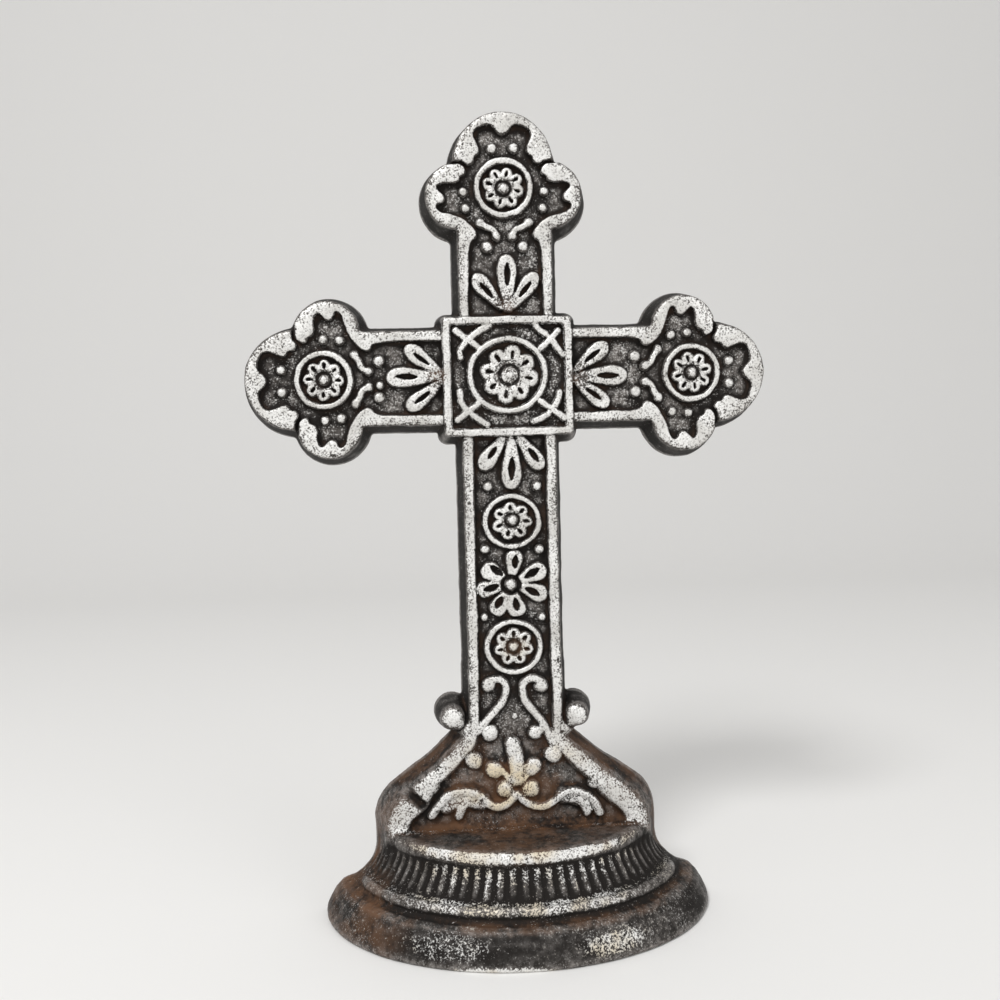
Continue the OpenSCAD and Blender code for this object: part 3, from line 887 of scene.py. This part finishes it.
def foot_silver(s):
    """Silver on the foot: on its beads and flutes, more in the middle, and in patches on its band."""
    x, h = s.x, s.h
    inset, angle = foot_place(x, s.t)
    middle = 1 - ramp(np.abs(x), 22, 52)
    silver = 0.09 + 0.3 * ramp(s.close, 0.02, 0.16) * (0.3 + 0.7 * middle)
    flutes = ramp(h, *FLUTES_START) * (1 - ramp(h, 28, 29.4)) * (1 - ramp(flute_wave(angle), 0.25, 0.8))
    silver = silver + flutes * (0.05 + 0.32 * middle * ramp(h, 18, 27))
    top_bead = ramp(h, 28.6, 30.2) * ramp(np.abs(s.normal[:, 1]) + s.normal[:, 2], 0.5, 1.1)
    silver = np.maximum(silver, top_bead * (0.30 + 0.40 * middle) * ramp(28.2 - inset, 0, 1.5))
    low_bead = ramp(h, 14.6, 16) * (1 - ramp(h, 18, 19))
    silver = np.maximum(silver, low_bead * (0.26 + 0.22 * middle))
    band = (0.18 + 0.34 * patch(x, h, 30, 6, 15, 5) + 0.20 * patch(x, h, -28, 7, 20, 5)
            - 0.10 * patch(x, h, 4, 6, 12, 8) + 0.75 * patch(x, h, -8, 0.2, 24, 2.0))
    silver = np.where(1 - ramp(h, 11, 13) > 0.5, band, silver)
    ledge = (s.normal[:, 2] > 0.85) & (h > 32.4)
    return np.where(ledge, 0.05, silver)


def silver_share(s):
    silver = cross_silver(s) * (1 - s.on_foot) + foot_silver(s) * s.on_foot
    for turn in (-1, 0, 1):
        u, v = in_arm(s.x, s.h - CENTRE_H, turn)
        silver = silver * (1 - 0.42 * patch(u, v, 0, BUD_AT + 0.5, 7.5, 6))
    return s.plain_behind(silver, 0.08)


def rust_share(s):
    x, h = s.x, s.h
    rust = 0.25 * ramp(-s.wide, 0.1, 0.3)
    rust = rust + 0.50 * patch(x, h, 0, FOOT_H, 56, 5) + 0.6 * patch(x, h, -62, 10, 24, 20)
    rust = rust + 0.6 * ramp(h, 10.5, 12) * (1 - ramp(h, 12.6, 13.6)) * s.on_foot
    rust = rust + 0.5 * patch(x, h, 0, CENTRE_H + LOW_RING_Z, 9, 9) + 0.3 * patch(x, h, 0, 48, 40, 22)
    for turn in (-1, 0, 1):
        u, v = in_arm(x, h - CENTRE_H, turn)
        rust = rust + 0.8 * patch(u, v, 0, BUD_AT, 5, 5)
    rust = rust + (0.30 * s.shade + 0.38) * s.panel * (1 - s.on_foot)
    return s.plain_behind(rust, 0.3)


def cream_share(s):
    cream = 0.05 + 0.75 * patch(s.x, s.h, 0, SPRAY_H, 30, 22) + 0.45 * s.on_foot
    cream = cream + 0.3 * patch(s.x, s.h, 0, CENTRE_H + LOW_RING_Z, 6, 6)
    return s.plain_behind(cream, 0)


def depth_share(s):
    """From 0 on proud work to 1 in painted shade, in the hollows and on the walls turned away from the
    front; the foot and the panel also take a darker iron tone.
    """
    depth = 0.5 - 1.6 * s.wide - 1.2 * s.close + 0.22 * s.on_foot + 0.06 * s.panel + 0.40 * s.shade
    return s.plain_behind(np.clip(depth, 0, 1), 0.55)


def finish_masks(mesh, blocks):
    s = Surface(mesh, blocks)
    shares = {"silver": silver_share, "rust": rust_share, "cream": cream_share, "depth": depth_share}
    return {name: np.clip(share(s), 0, 1) for name, share in shares.items()}


# ---------------------------------------------------------------- material

class Nodes:
    def __init__(self, name):
        self.material = bpy.data.materials.new(name)
        self.material.use_nodes = True
        self.tree = self.material.node_tree
        self.tree.nodes.clear()

    def add(self, kind, **inputs):
        node = self.tree.nodes.new(kind)
        for key, value in inputs.items():
            socket = node.inputs[key.replace("_", " ")]
            if isinstance(value, bpy.types.NodeSocket):
                self.tree.links.new(value, socket)
            else:
                socket.default_value = value
        return node

    def attribute(self, name):
        node = self.tree.nodes.new("ShaderNodeAttribute")
        node.attribute_name = name
        return node.outputs["Fac"]

    def noise(self, place, scale, detail, roughness):
        node = self.add("ShaderNodeTexNoise", Vector=place, Scale=scale, Detail=detail, Roughness=roughness)
        return node.outputs["Fac"]

    def math(self, operation, a, b=0.0):
        node = self.tree.nodes.new("ShaderNodeMath")
        node.operation = operation
        for socket, value in zip(node.inputs, (a, b)):
            if isinstance(value, bpy.types.NodeSocket):
                self.tree.links.new(value, socket)
            else:
                socket.default_value = value
        return node.outputs[0]

    def step(self, value, low, high, to_low=0.0, to_high=1.0):
        node = self.tree.nodes.new("ShaderNodeMapRange")
        node.interpolation_type = "SMOOTHSTEP"
        self.tree.links.new(value, node.inputs["Value"])
        node.inputs["From Min"].default_value = low
        node.inputs["From Max"].default_value = high
        node.inputs["To Min"].default_value = to_low
        node.inputs["To Max"].default_value = to_high
        return node.outputs["Result"]

    def mix(self, share, a, b):
        node = self.tree.nodes.new("ShaderNodeMix")
        node.data_type = "RGBA"
        for index, value in ((0, share), (6, a), (7, b)):
            socket = node.inputs[index]
            if isinstance(value, bpy.types.NodeSocket):
                self.tree.links.new(value, socket)
            else:
                socket.default_value = value
        return node.outputs[2]


def colour(red, green, blue):
    """Plain 0 to 255 colour as a shader reads it."""
    return tuple(((c / 255 + 0.055) / 1.055) ** 2.4 if c > 10 else c / 255 / 12.92
                 for c in (red, green, blue)) + (1.0,)


# Plain colours, 0 to 255
IRON = (58, 53, 49)
WORN_IRON = (120, 115, 111)
IRON_SPECK = (150, 147, 144)
# Near black for painted shade in the hollows and on walls turned away, and for the darker iron of the foot
# and panel
SHADE_AND_DARK_IRON = (27, 23, 20)
RUST = (102, 70, 45)
SILVER = (237, 236, 233)
DULL_SILVER = (208, 207, 204)
CREAM = (222, 204, 168)
PITS = (138, 134, 131)
THIN_SILVER = (124, 119, 115)
PAPER = (236, 235, 233)


def antiqued_iron():
    """Dark iron under worn silver: the masks say where, and noise breaks up their edges."""
    n = Nodes("antiqued_iron")
    place = n.add("ShaderNodeTexCoord").outputs["Object"]
    silver, rust = n.attribute("silver"), n.attribute("rust")
    cream, depth = n.attribute("cream"), n.attribute("depth")
    speck = n.noise(place, 1500, 2.5, 0.65)
    grain = n.noise(place, 520, 3, 0.6)
    cloud = n.noise(place, 95, 2, 0.5)
    worn = n.noise(place, 60, 3, 0.6)

    paint = n.math("ADD", silver, n.math("MULTIPLY", n.math("SUBTRACT", speck, 0.5), 1.9))
    paint = n.math("ADD", paint, n.math("MULTIPLY", n.math("SUBTRACT", grain, 0.5), 0.8))
    paint = n.math("ADD", paint, n.math("MULTIPLY", n.math("SUBTRACT", worn, 0.5), 0.65))
    paint = n.step(paint, 0.36, 0.68)

    iron = n.mix(n.step(grain, 0.35, 0.65), colour(*IRON), colour(*WORN_IRON))
    iron = n.mix(n.step(speck, 0.52, 0.66), iron, colour(*IRON_SPECK))
    # Painted shade: the hollows and the walls turned away go near black, along with the darker tone of the
    # foot and panel
    iron = n.mix(n.step(depth, 0.42, 0.85), iron, colour(*SHADE_AND_DARK_IRON))
    rusty = n.math("MULTIPLY", rust, n.step(n.math("ADD", cloud, n.math("MULTIPLY", grain, 0.6)), 0.6, 1.0))
    iron = n.mix(n.math("MULTIPLY", rusty, 0.85), iron, colour(*RUST))
    pale = n.mix(n.step(cloud, 0.35, 0.7), colour(*SILVER), colour(*DULL_SILVER))
    pale = n.mix(n.math("MULTIPLY", cream, n.step(cloud, 0.42, 0.66)), pale, colour(*CREAM))
    pale = n.mix(n.step(speck, 0.36, 0.58, 0.45, 0.0), pale, colour(*PITS))
    pale = n.mix(n.step(silver, 0.12, 0.55, 0.72, 0.0), pale, colour(*THIN_SILVER))
    base = n.mix(paint, iron, pale)

    lift = n.math("ADD", n.math("MULTIPLY", grain, 0.7), n.math("MULTIPLY", speck, 0.5))
    lift = n.math("ADD", lift, n.math("MULTIPLY", paint, 0.25))
    bump = n.add("ShaderNodeBump", Height=lift, Strength=0.5, Distance=0.00035)
    shader = n.add("ShaderNodeBsdfPrincipled", Normal=bump.outputs["Normal"], Specular_IOR_Level=0.34)
    n.tree.links.new(base, shader.inputs["Base Color"])
    n.tree.links.new(n.step(depth, 0.45, 0.95, 0.44, 0.80), shader.inputs["Roughness"])
    n.tree.links.new(n.step(rusty, 0, 0.5, 0.30, 0.0), shader.inputs["Metallic"])
    out = n.tree.nodes.new("ShaderNodeOutputMaterial")
    n.tree.links.new(shader.outputs["BSDF"], out.inputs["Surface"])
    return n.material


def build_cross():
    blocks = casting_blocks()
    mesh = lightened(casting_mesh(blocks))
    for name, values in finish_masks(mesh, blocks).items():
        layer = mesh.attributes.new(name, "FLOAT", "POINT")
        layer.data.foreach_set("value", values.astype(np.float32))
    mesh.polygons.foreach_set("use_smooth", np.ones(len(mesh.polygons), bool))
    mesh.materials.append(antiqued_iron())
    piece = bpy.data.objects.new("cast_iron_cross", mesh)
    bpy.context.scene.collection.objects.link(piece)
    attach(piece, "root")
    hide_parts("cross")


# ---------------------------------------------------------------- floor, lights and camera

def build_stage():
    """Pale floor that curves up into a backdrop."""
    half_w, front, bend_at, bend_r, top = 3.0, -2.2, 0.9, 0.6, 2.6
    profile = [(front, 0.0), (bend_at, 0.0)]
    profile += [(bend_at + bend_r * math.sin(a), bend_r * (1 - math.cos(a)))
                for a in (math.radians(9 * i) for i in range(1, 11))]
    profile.append((bend_at + bend_r, top))
    points = [(side * half_w, y, z) for y, z in profile for side in (-1, 1)]
    faces = [(2 * i, 2 * i + 1, 2 * i + 3, 2 * i + 2) for i in range(len(profile) - 1)]
    mesh = bpy.data.meshes.new("stage")
    mesh.from_pydata(points, [], faces)
    mesh.polygons.foreach_set("use_smooth", np.ones(len(mesh.polygons), bool))
    n = Nodes("pale_paper")
    shader = n.add("ShaderNodeBsdfPrincipled", Roughness=0.9, Base_Color=colour(*PAPER))
    out = n.tree.nodes.new("ShaderNodeOutputMaterial")
    n.tree.links.new(shader.outputs["BSDF"], out.inputs["Surface"])
    mesh.materials.append(n.material)
    floor = bpy.data.objects.new("stage", mesh)
    bpy.context.scene.collection.objects.link(floor)


def soft_lamp(name, at, target, size, watts):
    lamp = bpy.data.lights.new(name, "AREA")
    lamp.shape = "DISK"
    lamp.size = size
    lamp.energy = watts
    holder = bpy.data.objects.new(name, lamp)
    holder.location = at
    aim = Vector(target) - Vector(at)
    holder.rotation_euler = aim.to_track_quat("-Z", "Y").to_euler()
    bpy.context.scene.collection.objects.link(holder)


def build_lights():
    world = bpy.data.worlds.new("room")
    world.use_nodes = True
    background = world.node_tree.nodes["Background"]
    background.inputs["Color"].default_value = (1, 1, 1, 1)
    background.inputs["Strength"].default_value = 0.56
    bpy.context.scene.world = world
    middle = (0, 0, 0.15)
    soft_lamp("key", (-0.55, -0.9, 1.35), middle, 0.5, 15.5)
    soft_lamp("fill", (1.1, -1.2, 0.5), middle, 0.9, 4.5)


# Where the camera stands and looks, with y from the back plane, and how far it leans, in degrees
CAMERA_AT = (-25.8, -384.7, 176.6)
CAMERA_TARGET = (-4.13, -15.0, 157.82)
CAMERA_ROLL = -1.43
SENSOR = 36
LENS = 36


def from_back_plane(place):
    return Vector((place[0], BACK_Y + place[1], place[2])) * MM


def build_camera():
    camera = bpy.data.cameras.new("camera")
    camera.sensor_width = SENSOR
    camera.lens = LENS
    camera.clip_start = 0.01
    holder = bpy.data.objects.new("camera", camera)
    at = from_back_plane(CAMERA_AT)
    turn = (from_back_plane(CAMERA_TARGET) - at).to_track_quat("-Z", "Y").to_matrix()
    roll = Matrix.Rotation(math.radians(CAMERA_ROLL), 3, "Z")
    holder.matrix_world = Matrix.Translation(at) @ (turn @ roll).to_4x4()
    bpy.context.scene.collection.objects.link(holder)
    bpy.context.scene.camera = holder


bpy.context.scene.view_settings.view_transform = "Standard"
build_camera()
build_stage()
build_lights()
build_cross()
